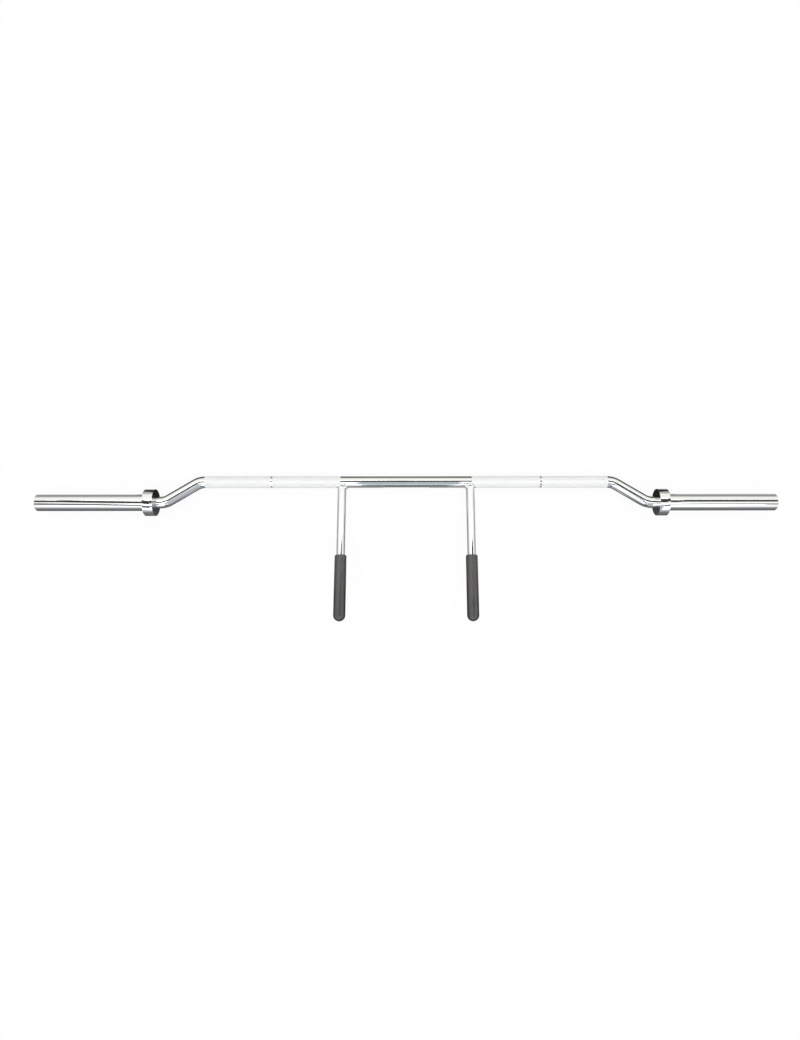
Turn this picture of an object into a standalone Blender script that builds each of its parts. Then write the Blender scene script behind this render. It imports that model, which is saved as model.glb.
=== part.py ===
"""Safety squat bar: a cranked steel shaft, two welded handles with rubber grips, and a sleeve that spins on each end.

Metres, +Z up. The bar lies as it comes to rest: on its two collars and the underside of its shaft, handles raised.
"""

import math

import bmesh
import bpy
from mathutils import Vector

# Shaft
SHAFT_RADIUS = 0.0175
COLLAR_SPAN = 1.500  # between the collars' inner faces
CAMBER = 0.064  # from the shaft's axis to the sleeves' axis
BEND_RADIUS = 0.052
BEND_ANGLE = math.radians(32.5)
STUB_LENGTH = 0.013  # straight between a bend and its collar
RING_MARK_SPACING = 0.810
RING_MARK_WIDTH = 0.005
RING_MARK_DEPTH = 0.0005
STEP_RUN = 0.0001  # length along the shaft that a square shoulder takes

# Collars and sleeves
COLLAR_RADIUS = 0.040
COLLAR_THICKNESS = 0.030
COLLAR_EDGE = 0.001
LIP_THICKNESS = 0.006  # of the collar's inner lip, which covers the end of the sleeve
SLEEVE_RADIUS = 0.025
SLEEVE_LENGTH = 0.325  # outside the collar, for the plates
SLEEVE_WALL = 0.006
SLEEVE_EDGE = 0.0015

# Bushes, washers and clips inside a sleeve
BUSH_WALL = 0.0034
INNER_BUSH_LENGTH = 0.060
OUTER_BUSH_LENGTH = 0.040
OUTER_BUSH_INSET = 0.034  # from the sleeve's end to the outer bush
BUSH_EDGE = 0.0006
WASHER_THICKNESS = 0.002
WASHER_CLEARANCE = 0.0005  # to the sleeve's bore
CLIP_THICKNESS = 0.0015
CLIP_WIDTH = 0.0025
CLIP_EAR = 0.0015  # how far a clip's ears stand out from it
CLIP_GROOVE_DEPTH = 0.001
CLIP_OPENING = math.radians(24)
CLIP_EAR_SPAN = math.radians(15)
CLIP_EYE_RADIUS = 0.0008
JOURNAL_TIP = 0.004  # from the clip's groove to the end of the journal
JOURNAL_CHAMFER = 0.0015

# End cap, held in the sleeve's mouth by a sprung ring
CAP_RECESS = 0.004
CAP_SEAT_DEPTH = 0.016
CAP_SEAT_STEP = 0.001
CAP_FACE = 0.003
CAP_WALL = 0.002
CAP_CROWN = 0.0015
CAP_RING_THICKNESS = 0.0015
CAP_RING_WIDTH = 0.0025
CAP_RING_EAR = 0.0030
CAP_RING_GROOVE_DEPTH = 0.001

# Handles and grips
HANDLE_SPACING = 0.386
HANDLE_RADIUS = 0.0125
HANDLE_WALL = 0.0025
HANDLE_REACH = 0.420  # from the shaft's axis to the tip of the grip
WELD_ALONG = 0.009  # leg of the weld along the shaft
WELD_AROUND = 0.004  # leg of the weld round the shaft
WELD_HUG = 0.97  # most of the shaft's half width that the weld may reach across
GRIP_LENGTH = 0.194
GRIP_WALL = 0.005
GRIP_END_WALL = 0.010
GRIP_MOUTH_EDGE = 0.003

GAP = 0.0003  # between pieces that seat or run on each other

# Facets
SHAFT_SIDES = 40
COLLAR_SIDES = 48
SLEEVE_SIDES = 40
HIDDEN_SIDES = 28
HANDLE_SIDES = 32
BEND_STEPS = 7
EDGE_STEPS = 3
WELD_STEPS = 4
DOME_STEPS = 7
CLIP_STEPS = 20
EYE_STEPS = 8
SHARP_ANGLE = math.radians(35)
MERGE = 0.00001

# Worked out from the sizes above. Places along a sleeve are measured outwards from its collar's inner face.
BEND_STRAIGHT = (CAMBER - 2 * BEND_RADIUS * (1 - math.cos(BEND_ANGLE))) / math.sin(BEND_ANGLE)
BEND_RUN = 2 * BEND_RADIUS * math.sin(BEND_ANGLE) + BEND_STRAIGHT * math.cos(BEND_ANGLE)
SLEEVE_BORE = SLEEVE_RADIUS - SLEEVE_WALL
SLEEVE_START = LIP_THICKNESS + GAP
SLEEVE_END = COLLAR_THICKNESS + SLEEVE_LENGTH
JOURNAL_RADIUS = SLEEVE_BORE - BUSH_WALL - 2 * GAP
INNER_BUSH_START = SLEEVE_START + WASHER_THICKNESS + GAP
OUTER_BUSH_END = SLEEVE_END - OUTER_BUSH_INSET
CLIP_START = OUTER_BUSH_END + WASHER_THICKNESS + 2 * GAP
CAP_RING_START = SLEEVE_END - CAP_RECESS - CAP_RING_THICKNESS
CAP_SEAT_RADIUS = SLEEVE_BORE + CAP_SEAT_STEP
GRIP_RADIUS = HANDLE_RADIUS + GRIP_WALL
REST_TILT = math.asin((COLLAR_RADIUS - SHAFT_RADIUS) / CAMBER)


def clear_scene():
    for obj in list(bpy.data.objects):
        bpy.data.objects.remove(obj, do_unlink=True)


def new_collection(name):
    made = bpy.data.collections.new(name)
    bpy.context.scene.collection.children.link(made)
    return made


def new_material(name, colour, roughness, metallic):
    made = bpy.data.materials.new(name)
    made.use_nodes = True
    shader = made.node_tree.nodes["Principled BSDF"]
    shader.inputs["Base Color"].default_value = (*colour, 1)
    shader.inputs["Roughness"].default_value = roughness
    shader.inputs["Metallic"].default_value = metallic
    return made


def new_object(name, data, collection, parent=None):
    obj = bpy.data.objects.new(name, data)
    collection.objects.link(obj)
    obj.parent = parent
    return obj


def new_axis(name, collection, location, rotation, parent=None):
    axis = new_object(name, None, collection, parent)
    axis.empty_display_size = 0.05
    axis.location = location
    axis.rotation_euler = rotation
    return axis


def applied(obj, material):
    """The solid mesh of an object with modifiers or of a curve, shaded smooth between its edges."""
    bpy.context.view_layer.update()
    graph = bpy.context.evaluated_depsgraph_get()
    mesh = bpy.data.meshes.new_from_object(obj.evaluated_get(graph))
    shape = bmesh.new()
    shape.from_mesh(mesh)
    bmesh.ops.remove_doubles(shape, verts=shape.verts, dist=MERGE)
    shape.to_mesh(mesh)
    shape.free()
    mesh.name = obj.name
    mesh.materials.clear()
    mesh.materials.append(material)
    mesh.shade_smooth()
    mesh.set_sharp_from_angle(angle=SHARP_ANGLE)
    bpy.data.objects.remove(obj, do_unlink=True)
    return mesh


def turned(name, profile, sides, material):
    """A shape turned about local Z. The (radius, z) points run down its outer side, then up its bore if it has one."""
    points = [(radius, 0, z) for radius, z in profile]
    edges = [(i, i + 1) for i in range(len(points) - 1)]
    if profile[0][0] > 0:
        edges.append((len(points) - 1, 0))
    mesh = bpy.data.meshes.new(name)
    mesh.from_pydata(points, edges, [])
    obj = new_object(name, mesh, bpy.context.scene.collection)
    screw = obj.modifiers.new("Turn", "SCREW")
    screw.axis = "Z"
    screw.angle = math.tau
    screw.steps = sides
    screw.render_steps = sides
    screw.use_merge_vertices = True
    screw.merge_threshold = MERGE
    return applied(obj, material)


def arc(centre_radius, centre_z, radius, start, end, steps):
    """Profile points along an arc. Its angles are in degrees, 0 outwards and 90 up."""
    angles = [math.radians(start + (end - start) * i / steps) for i in range(steps + 1)]
    return [(centre_radius + radius * math.cos(a), centre_z + radius * math.sin(a)) for a in angles]


def journal_stations():
    """(place along the sleeve, radius) down the shaft's turned end, with the groove for its clip."""
    groove_start = CLIP_START - GAP
    groove_end = CLIP_START + CLIP_THICKNESS + GAP
    groove_radius = JOURNAL_RADIUS - CLIP_GROOVE_DEPTH
    tip = groove_end + STEP_RUN + JOURNAL_TIP
    return [
        (LIP_THICKNESS, SHAFT_RADIUS),
        (LIP_THICKNESS + STEP_RUN, JOURNAL_RADIUS),
        (groove_start - STEP_RUN, JOURNAL_RADIUS),
        (groove_start, groove_radius),
        (groove_end, groove_radius),
        (groove_end + STEP_RUN, JOURNAL_RADIUS),
        (tip - JOURNAL_CHAMFER, JOURNAL_RADIUS),
        (tip, JOURNAL_RADIUS - JOURNAL_CHAMFER),
    ]


def shaft_stations():
    """(x, offset towards the sleeves' axis, radius) from the first ring mark to the end of one journal."""
    mark_start = (RING_MARK_SPACING - RING_MARK_WIDTH) / 2
    mark_end = mark_start + RING_MARK_WIDTH
    mark_radius = SHAFT_RADIUS - RING_MARK_DEPTH
    stations = [
        (mark_start - STEP_RUN, 0, SHAFT_RADIUS),
        (mark_start, 0, mark_radius),
        (mark_end, 0, mark_radius),
        (mark_end + STEP_RUN, 0, SHAFT_RADIUS),
    ]
    angles = [BEND_ANGLE * i / BEND_STEPS for i in range(BEND_STEPS + 1)]
    bend = [(BEND_RADIUS * math.sin(a), BEND_RADIUS * (1 - math.cos(a))) for a in angles]
    bend_end = COLLAR_SPAN / 2 - STUB_LENGTH
    stations += [(bend_end - BEND_RUN + x, y, SHAFT_RADIUS) for x, y in bend]
    stations += [(bend_end - x, CAMBER - y, SHAFT_RADIUS) for x, y in reversed(bend)]
    stations += [(COLLAR_SPAN / 2 + z, CAMBER, radius) for z, radius in journal_stations()]
    return stations


def make_shaft_mesh(chrome):
    """One round bar swept along its cranked axis, from the tip of one journal to the other's."""
    half = shaft_stations()
    stations = [(-x, offset, radius) for x, offset, radius in reversed(half)] + half
    curve = bpy.data.curves.new("shaft", "CURVE")
    curve.dimensions = "3D"
    spline = curve.splines.new("POLY")
    spline.points.add(len(stations) - 1)
    for point, (x, offset, radius) in zip(spline.points, stations):
        point.co = (x, -offset, 0, 1)
        point.radius = radius / SHAFT_RADIUS
    curve.bevel_depth = SHAFT_RADIUS
    curve.bevel_resolution = (SHAFT_SIDES - 4) // 2
    curve.use_fill_caps = True
    return applied(new_object("shaft", curve, bpy.context.scene.collection), chrome)


def weld_leg(angle):
    """Leg of the weld at this angle round the handle, held back where the shaft's side falls away."""
    leg = WELD_ALONG * math.cos(angle) ** 2 + WELD_AROUND * math.sin(angle) ** 2
    room = WELD_HUG * SHAFT_RADIUS - HANDLE_RADIUS * abs(math.sin(angle))
    return min(leg, room)


def shaft_height(radius, angle):
    """Height of the shaft's surface over its axis, on the circle of this radius round the handle."""
    return math.sqrt(SHAFT_RADIUS**2 - (radius * math.sin(angle)) ** 2)


def weld_point(angle, share):
    """(radius, z) on the weld's hollow face: share 0 is its foot on the shaft, 1 its top on the handle."""
    leg = weld_leg(angle)
    root = Vector((HANDLE_RADIUS, shaft_height(HANDLE_RADIUS, angle)))
    foot = Vector((HANDLE_RADIUS + leg, shaft_height(HANDLE_RADIUS + leg, angle)))
    top = root + Vector((0, leg))
    return foot * (1 - share) ** 2 + root * 2 * share * (1 - share) + top * share**2


def handle_rings(tube_end):
    """Rings of points up the outside of a handle: a foot inside the shaft, the weld, then the tube."""
    angles = [math.tau * i / HANDLE_SIDES for i in range(HANDLE_SIDES)]
    rings = [[(weld_point(a, 0)[0], 0) for a in angles]]
    rings += [[weld_point(a, i / WELD_STEPS) for a in angles] for i in range(WELD_STEPS + 1)]
    rings.append([(HANDLE_RADIUS, tube_end)] * HANDLE_SIDES)
    return [
        [(radius * math.cos(a), radius * math.sin(a), z) for a, (radius, z) in zip(angles, ring)]
        for ring in rings
    ]


def lofted(name, rings):
    """A closed mesh through rings of points, with flat ends."""
    shape = bmesh.new()
    loops = [[shape.verts.new(point) for point in ring] for ring in rings]
    for low, high in zip(loops, loops[1:]):
        for i, vert in enumerate(low):
            j = (i + 1) % len(low)
            shape.faces.new((vert, low[j], high[j], high[i]))
    shape.faces.new(reversed(loops[0]))
    shape.faces.new(loops[-1])
    mesh = bpy.data.meshes.new(name)
    shape.to_mesh(mesh)
    shape.free()
    return mesh


def new_cutter(name, collection, radius, start, end, rotation):
    """A cylinder to be cut away, from start to end along its local Z."""
    shape = bmesh.new()
    bmesh.ops.create_cone(
        shape,
        cap_ends=True,
        segments=SHAFT_SIDES,
        radius1=radius,
        radius2=radius,
        depth=end - start,
    )
    bmesh.ops.translate(shape, verts=shape.verts, vec=(0, 0, (start + end) / 2))
    mesh = bpy.data.meshes.new(name)
    shape.to_mesh(mesh)
    shape.free()
    obj = new_object(name, mesh, collection)
    obj.rotation_euler = rotation
    obj.hide_render = True
    obj.display_type = "WIRE"
    return obj


def make_handle_mesh(cutters, chrome):
    """A tube along local Z with its weld, coped over the shaft, which runs along local X."""
    tube_end = HANDLE_REACH - GRIP_END_WALL - GAP
    obj = new_object("handle", lofted("handle", handle_rings(tube_end)), bpy.context.scene.collection)
    half_cope = 2 * (HANDLE_RADIUS + WELD_ALONG)
    bore_radius = HANDLE_RADIUS - HANDLE_WALL
    cuts = [
        new_cutter("handle_bore", cutters, bore_radius, -GAP, tube_end + GAP, (0, 0, 0)),
        new_cutter("handle_cope", cutters, SHAFT_RADIUS + GAP, -half_cope, half_cope, (0, math.pi / 2, 0)),
    ]
    for other in cuts:
        cut = obj.modifiers.new(other.name, "BOOLEAN")
        cut.operation = "DIFFERENCE"
        cut.object = other
    return applied(obj, chrome)


def make_grip_mesh(rubber):
    """A moulded grip along local Z, measured from the shaft's axis: rounded mouth, tube and domed end."""
    mouth_z = HANDLE_REACH - GRIP_LENGTH
    bore = HANDLE_RADIUS + GAP
    floor = HANDLE_REACH - GRIP_END_WALL
    dome = arc(0, HANDLE_REACH - GRIP_RADIUS, GRIP_RADIUS, 90, 0, DOME_STEPS)
    edge_radius = GRIP_RADIUS - GRIP_MOUTH_EDGE
    mouth = arc(edge_radius, mouth_z + GRIP_MOUTH_EDGE, GRIP_MOUTH_EDGE, 0, -90, EDGE_STEPS)
    profile = [(0, HANDLE_REACH)] + dome[1:] + mouth + [(bore, mouth_z), (bore, floor), (0, floor)]
    return turned("grip", profile, HANDLE_SIDES, rubber)


def make_collar_mesh(chrome):
    """A thick ring on the sleeve's inner end, with a lip that closes it in round the shaft."""
    rim = COLLAR_RADIUS - COLLAR_EDGE
    shaft_hole = SHAFT_RADIUS + GAP
    seat = SLEEVE_RADIUS + GAP
    profile = arc(rim, COLLAR_THICKNESS - COLLAR_EDGE, COLLAR_EDGE, 90, 0, EDGE_STEPS)
    profile += arc(rim, COLLAR_EDGE, COLLAR_EDGE, 0, -90, EDGE_STEPS)
    profile += [(shaft_hole, 0), (shaft_hole, LIP_THICKNESS), (seat, LIP_THICKNESS), (seat, COLLAR_THICKNESS)]
    return turned("collar", profile, COLLAR_SIDES, chrome)


def make_sleeve_mesh(chrome):
    """The tube that carries the plates, with the end cap's seat and the groove of its ring in the mouth."""
    groove = CAP_SEAT_RADIUS + CAP_RING_GROOVE_DEPTH
    groove_start = CAP_RING_START - GAP
    groove_end = CAP_RING_START + CAP_RING_THICKNESS + GAP
    seat_start = SLEEVE_END - CAP_SEAT_DEPTH
    profile = arc(SLEEVE_RADIUS - SLEEVE_EDGE, SLEEVE_END - SLEEVE_EDGE, SLEEVE_EDGE, 90, 0, EDGE_STEPS)
    profile += [
        (SLEEVE_RADIUS, SLEEVE_START),
        (SLEEVE_BORE, SLEEVE_START),
        (SLEEVE_BORE, seat_start),
        (CAP_SEAT_RADIUS, seat_start),
        (CAP_SEAT_RADIUS, groove_start),
        (groove, groove_start),
        (groove, groove_end),
        (CAP_SEAT_RADIUS, groove_end),
        (CAP_SEAT_RADIUS, SLEEVE_END),
    ]
    return turned("sleeve", profile, SLEEVE_SIDES, chrome)


def make_bush_mesh(name, start, length, bronze):
    """A plain bush pressed into the sleeve and running on the journal."""
    outer = SLEEVE_BORE - GAP
    inner = JOURNAL_RADIUS + GAP
    end = start + length
    profile = [
        (outer - BUSH_EDGE, end),
        (outer, end - BUSH_EDGE),
        (outer, start + BUSH_EDGE),
        (outer - BUSH_EDGE, start),
        (inner, start),
        (inner, end),
    ]
    return turned(name, profile, HIDDEN_SIDES, bronze)


def make_washer_mesh(name, start, steel):
    outer = SLEEVE_BORE - WASHER_CLEARANCE
    inner = JOURNAL_RADIUS + GAP
    end = start + WASHER_THICKNESS
    return turned(name, [(outer, end), (outer, start), (inner, start), (inner, end)], HIDDEN_SIDES, steel)


def make_cap_mesh(black):
    """A shallow crowned cup whose skirt stands on the step in the sleeve's mouth."""
    outer = CAP_SEAT_RADIUS - GAP
    inner = outer - CAP_WALL
    skirt_end = SLEEVE_END - CAP_SEAT_DEPTH + GAP
    face = CAP_RING_START - GAP
    crown = outer - CAP_RING_WIDTH
    profile = [
        (0, face + CAP_CROWN),
        (crown / 2, face + CAP_CROWN * 3 / 4),
        (crown, face),
        (outer, face),
        (outer, skirt_end),
        (inner, skirt_end),
        (inner, face - CAP_FACE),
        (0, face - CAP_FACE),
    ]
    return turned("end_cap", profile, HIDDEN_SIDES, black)


def on_circle(radius, angle, centre=(0, 0)):
    return centre[0] + radius * math.cos(angle), centre[1] + radius * math.sin(angle)


def clip_outlines(plain_radius, ear_side_radius, ear_tip_radius):
    """A sprung ring's outline, open round local X, and the eye in each of the two ears beside the opening."""
    tip = CLIP_OPENING / 2
    shoulder = tip + CLIP_EAR_SPAN
    shares = [i / CLIP_STEPS for i in range(CLIP_STEPS + 1)]
    outline = [on_circle(plain_radius, tip + (math.tau - 2 * tip) * share) for share in shares]
    outline += [on_circle(ear_tip_radius, -tip), on_circle(ear_tip_radius, -shoulder)]
    outline += [on_circle(ear_side_radius, -shoulder - (math.tau - 2 * shoulder) * share) for share in shares]
    outline += [on_circle(ear_tip_radius, shoulder), on_circle(ear_tip_radius, tip)]
    eye_radius = (plain_radius + ear_tip_radius) / 2
    eye_angle = (tip + shoulder) / 2
    eyes = []
    for sign in (-1, 1):
        centre = on_circle(eye_radius, sign * eye_angle)
        eyes.append([on_circle(CLIP_EYE_RADIUS, math.tau * i / EYE_STEPS, centre) for i in range(EYE_STEPS)])
    return [outline] + eyes


def plate_mesh(name, outlines, start, thickness, material):
    """A flat plate with holes, from start along local Z."""
    curve = bpy.data.curves.new(name, "CURVE")
    curve.dimensions = "2D"
    curve.fill_mode = "BOTH"
    curve.extrude = thickness / 2
    for outline in outlines:
        spline = curve.splines.new("POLY")
        spline.points.add(len(outline) - 1)
        spline.use_cyclic_u = True
        for point, (x, y) in zip(spline.points, outline):
            point.co = (x, y, 0, 1)
    mesh = applied(new_object(name, curve, bpy.context.scene.collection), material)
    for vertex in mesh.vertices:
        vertex.co.z += start + thickness / 2
    return mesh


def make_retaining_ring_mesh(steel):
    """The clip in the journal's groove, its ears outwards, that keeps the sleeve on."""
    inner = JOURNAL_RADIUS - CLIP_GROOVE_DEPTH + GAP
    outer = inner + CLIP_WIDTH
    outlines = clip_outlines(inner, outer, outer + CLIP_EAR)
    return plate_mesh("retaining_ring", outlines, CLIP_START, CLIP_THICKNESS, steel)


def make_cap_ring_mesh(steel):
    """The ring in the sleeve's groove, its ears inwards, that keeps the end cap in."""
    outer = CAP_SEAT_RADIUS + CAP_RING_GROOVE_DEPTH - GAP
    inner = outer - CAP_RING_WIDTH
    outlines = clip_outlines(outer, inner, inner - CAP_RING_EAR)
    return plate_mesh("cap_ring", outlines, CAP_RING_START, CAP_RING_THICKNESS, steel)


def rest_location():
    """Where the shaft's axis lies, with the bar on the ground and its box centred on the origin."""
    sleeve_back = COLLAR_RADIUS - CAMBER * math.cos(REST_TILT)
    back = max(SHAFT_RADIUS, sleeve_back)
    front = (HANDLE_REACH - GRIP_RADIUS) * math.cos(REST_TILT) + GRIP_RADIUS
    return 0, (front - back) / 2, SHAFT_RADIUS


def main():
    clear_scene()
    parts = new_collection("safety_squat_bar")
    cutters = new_collection("cutters")
    chrome = new_material("chrome", (0.80, 0.80, 0.79), 0.12, 1.0)
    satin_chrome = new_material("satin_chrome", (0.74, 0.74, 0.73), 0.32, 1.0)
    rubber = new_material("grip_rubber", (0.075, 0.072, 0.068), 0.75, 0.0)
    bronze = new_material("bronze", (0.55, 0.36, 0.16), 0.40, 1.0)
    steel = new_material("spring_steel", (0.30, 0.30, 0.31), 0.35, 1.0)
    plastic = new_material("black_plastic", (0.03, 0.03, 0.03), 0.50, 0.0)

    bar = new_axis("bar_axis", parts, rest_location(), (-REST_TILT, 0, 0))
    new_object("shaft", make_shaft_mesh(satin_chrome), parts, bar)

    handle = make_handle_mesh(cutters, chrome)
    grip = make_grip_mesh(rubber)
    sleeve_pieces = {
        "collar": make_collar_mesh(chrome),
        "sleeve": make_sleeve_mesh(chrome),
        "inner_thrust_washer": make_washer_mesh("inner_thrust_washer", SLEEVE_START, steel),
        "inner_bush": make_bush_mesh("inner_bush", INNER_BUSH_START, INNER_BUSH_LENGTH, bronze),
        "outer_bush": make_bush_mesh(
            "outer_bush", OUTER_BUSH_END - OUTER_BUSH_LENGTH, OUTER_BUSH_LENGTH, bronze
        ),
        "outer_thrust_washer": make_washer_mesh("outer_thrust_washer", OUTER_BUSH_END + GAP, steel),
        "retaining_ring": make_retaining_ring_mesh(steel),
        "end_cap": make_cap_mesh(plastic),
        "cap_ring": make_cap_ring_mesh(steel),
    }
    for side, sign in (("left", -1), ("right", 1)):
        handle_place = (sign * HANDLE_SPACING / 2, 0, 0)
        handle_axis = new_axis(f"{side}_handle_axis", parts, handle_place, (math.pi / 2, 0, 0), bar)
        new_object(f"{side}_handle", handle, parts, handle_axis)
        new_object(f"{side}_grip", grip, parts, handle_axis)
        sleeve_place = (sign * COLLAR_SPAN / 2, -CAMBER, 0)
        sleeve_axis = new_axis(f"{side}_sleeve_axis", parts, sleeve_place, (0, sign * math.pi / 2, 0), bar)
        for name, mesh in sleeve_pieces.items():
            new_object(f"{side}_{name}", mesh, parts, sleeve_axis)


main()
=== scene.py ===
"""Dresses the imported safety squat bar: fine meshes and finishes, a pale studio and the photograph's camera.

Metres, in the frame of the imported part. The sizes repeat those of the part's source, apart from the
knurling, the welds and the collars' sharper edge.
"""

import math

import bpy
from mathutils import Matrix, Vector


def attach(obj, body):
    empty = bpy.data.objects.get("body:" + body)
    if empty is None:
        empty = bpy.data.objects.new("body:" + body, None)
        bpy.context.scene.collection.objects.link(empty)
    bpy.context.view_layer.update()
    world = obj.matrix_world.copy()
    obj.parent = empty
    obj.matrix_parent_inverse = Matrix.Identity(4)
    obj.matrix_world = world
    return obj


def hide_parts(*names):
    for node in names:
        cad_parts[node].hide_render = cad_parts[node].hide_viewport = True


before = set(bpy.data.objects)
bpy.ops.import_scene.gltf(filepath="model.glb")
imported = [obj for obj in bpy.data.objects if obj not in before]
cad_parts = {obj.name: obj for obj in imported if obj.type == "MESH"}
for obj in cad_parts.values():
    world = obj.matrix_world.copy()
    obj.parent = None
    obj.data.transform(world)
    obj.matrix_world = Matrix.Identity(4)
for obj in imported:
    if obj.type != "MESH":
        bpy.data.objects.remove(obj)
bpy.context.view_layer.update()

# Shaft
SHAFT_RADIUS = 0.0175
COLLAR_SPAN = 1.500
CAMBER = 0.064
BEND_RADIUS = 0.052
BEND_ANGLE = math.radians(32.5)
STUB_LENGTH = 0.013
RING_MARK_SPACING = 0.810
RING_MARK_WIDTH = 0.005
RING_MARK_DEPTH = 0.0005
PLAIN_HALF = 0.1974  # half the polished length between the handles
STEP_RUN = 0.0001

# Knurling
KNURL_COLUMNS = 136  # two for each diamond round the shaft
KNURL_STEP = 0.0014  # half a diamond along the shaft
KNURL_DEPTH = 0.00032
KNURL_UNSHADED_SHARE = 0.2  # the outer share of that depth, left palest; the colour below it is painted shade
PLAIN_DEPTH = 0.0001  # of the polished surface below the diamonds' points
KNURL_MARGIN = 0.0004

# Collars and sleeves
COLLAR_RADIUS = 0.040
COLLAR_THICKNESS = 0.030
COLLAR_EDGE = 0.0004  # sharper than the solid's, as its face meets its side in a crisp line
LIP_THICKNESS = 0.006
SLEEVE_RADIUS = 0.025
SLEEVE_LENGTH = 0.325
SLEEVE_WALL = 0.006
SLEEVE_EDGE = 0.0015
BUSH_WALL = 0.0034
OUTER_BUSH_INSET = 0.034
WASHER_THICKNESS = 0.002
CLIP_THICKNESS = 0.0015
CLIP_GROOVE_DEPTH = 0.001
JOURNAL_TIP = 0.004
JOURNAL_CHAMFER = 0.0015

# End caps and their rings
CAP_RECESS = 0.004
CAP_SEAT_DEPTH = 0.016
CAP_SEAT_STEP = 0.001
CAP_FACE = 0.003
CAP_WALL = 0.002
CAP_CROWN = 0.0015
CAP_RING_THICKNESS = 0.0015
CAP_RING_WIDTH = 0.0025
CAP_RING_EAR = 0.0030
CAP_RING_GROOVE_DEPTH = 0.001
CAP_RING_BEVEL = 0.0002
CLIP_OPENING = math.radians(24)
CLIP_EAR_SPAN = math.radians(15)
CLIP_EYE_RADIUS = 0.0008

# Handles and grips
HANDLE_SPACING = 0.386
HANDLE_RADIUS = 0.0125
HANDLE_WALL = 0.0025
HANDLE_FOOT = 0.010  # from the shaft's axis to the tube's lower end, inside the shaft
HANDLE_REACH = 0.420
WELD_INNER = {"left": 0.0090, "right": 0.0070}  # leg of the weld towards the bar's middle
WELD_OUTER = 0.0045
WELD_AROUND = 0.0040
WELD_HUG = 0.97
WELD_FULLNESS = 0.25  # how far the weld's face stands out from its root towards a straight slope
WELD_SINK = 0.0006
WELD_RIPPLE = 0.00004
WELD_RIPPLES = 40
GRIP_LENGTH = 0.194
GRIP_WALL = 0.005
GRIP_END_WALL = 0.010
GRIP_MOUTH_EDGE = 0.003

GAP = 0.0003

# Facets
TURNED_SIDES = 128
PLAIN_STEPS = 4
ARC_STEPS = 10
DOME_STEPS = 28
BEND_STEPS = 20
WELD_SIDES = 480
WELD_STEPS = 20
CLIP_STEPS = 72
EYE_STEPS = 16
SHARP_ANGLE = math.radians(32)

# Worked out from the sizes above. Places along a sleeve are measured outwards from its collar's inner face.
BEND_STRAIGHT = (CAMBER - 2 * BEND_RADIUS * (1 - math.cos(BEND_ANGLE))) / math.sin(BEND_ANGLE)
BEND_RUN = 2 * BEND_RADIUS * math.sin(BEND_ANGLE) + BEND_STRAIGHT * math.cos(BEND_ANGLE)
BEND_END = COLLAR_SPAN / 2 - STUB_LENGTH
SLEEVE_BORE = SLEEVE_RADIUS - SLEEVE_WALL
SLEEVE_START = LIP_THICKNESS + GAP
SLEEVE_END = COLLAR_THICKNESS + SLEEVE_LENGTH
JOURNAL_RADIUS = SLEEVE_BORE - BUSH_WALL - 2 * GAP
CLIP_START = SLEEVE_END - OUTER_BUSH_INSET + WASHER_THICKNESS + 2 * GAP
CAP_RING_START = SLEEVE_END - CAP_RECESS - CAP_RING_THICKNESS
CAP_SEAT_RADIUS = SLEEVE_BORE + CAP_SEAT_STEP
GRIP_RADIUS = HANDLE_RADIUS + GRIP_WALL
REST_TILT = math.asin((COLLAR_RADIUS - SHAFT_RADIUS) / CAMBER)

# Studio
CAMERA_ELEVATION = math.radians(95.69)  # from the handles' side, so it looks down from past upright
CAMERA_DISTANCE = 2.221
CAMERA_ROLL = -0.0009
ASIDE_PIXELS = 6.1  # the optical axis and the shaft's middle lie this far right of the image's middle
CAMERA_ABOVE = 0.11464  # the shaft's middle lies this far above the optical axis
IMAGE_HEIGHT = 1040
FOCAL_PIXELS = 735.1
SENSOR = 36.0
FLOOR_SIZE = 120.0
FLOOR_GLOW = 0.92  # share of the floor's white that no shadow dims
FLOOR_BOUNCE = 0.35  # grey of the floor as it lights the bar
WORLD_LIGHT = 0.42
LAMP_LEAN = 35  # degrees from upright, one lamp to each side
LAMP_SPREAD = math.radians(60)
LAMP_ENERGY = 1.20

# Cards and mats, which show only in reflections, in place of a real studio's surround
CARD_DISTANCE = 6.0
CARD_HALF = 6.0  # half the length of a card overhead
WALL_DISTANCE = 7.0  # to the walls off the bar's ends
MAT_HEIGHT = 0.0004
MAT_HALF = 7.0  # half the length of a mat
MIDDLE_EDGE = 0.07  # the mats change shade at these places, out from the bar's middle
HANDLE_EDGE = 0.13
CRANK_EDGE = 0.60
FRONT_EDGE = 0.64  # where the front mats turn dark
COLLAR_MAT_START = 0.755
COLLAR_MAT_END = 0.825
MAT_REACH = 0.4  # the mats end at these distances from the line under the sleeves
FRONT_NEAR_END = 0.09
FRONT_MIDDLE_END = 0.24
FRONT_GRIP_END = 0.5
WARM_TINT = (1, 1, 0.96)
COOL_TINT = (1, 1.02, 1.04)


def bar_matrix():
    """The bar's own frame: X along the shaft, -Y towards the grips, tilted as the bar rests."""
    sleeve_back = COLLAR_RADIUS - CAMBER * math.cos(REST_TILT)
    back = max(SHAFT_RADIUS, sleeve_back)
    front = (HANDLE_REACH - GRIP_RADIUS) * math.cos(REST_TILT) + GRIP_RADIUS
    place = Matrix.Translation((0, (front - back) / 2, SHAFT_RADIUS))
    return place @ Matrix.Rotation(-REST_TILT, 4, "X")


BAR = bar_matrix()


# Node trees


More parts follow.
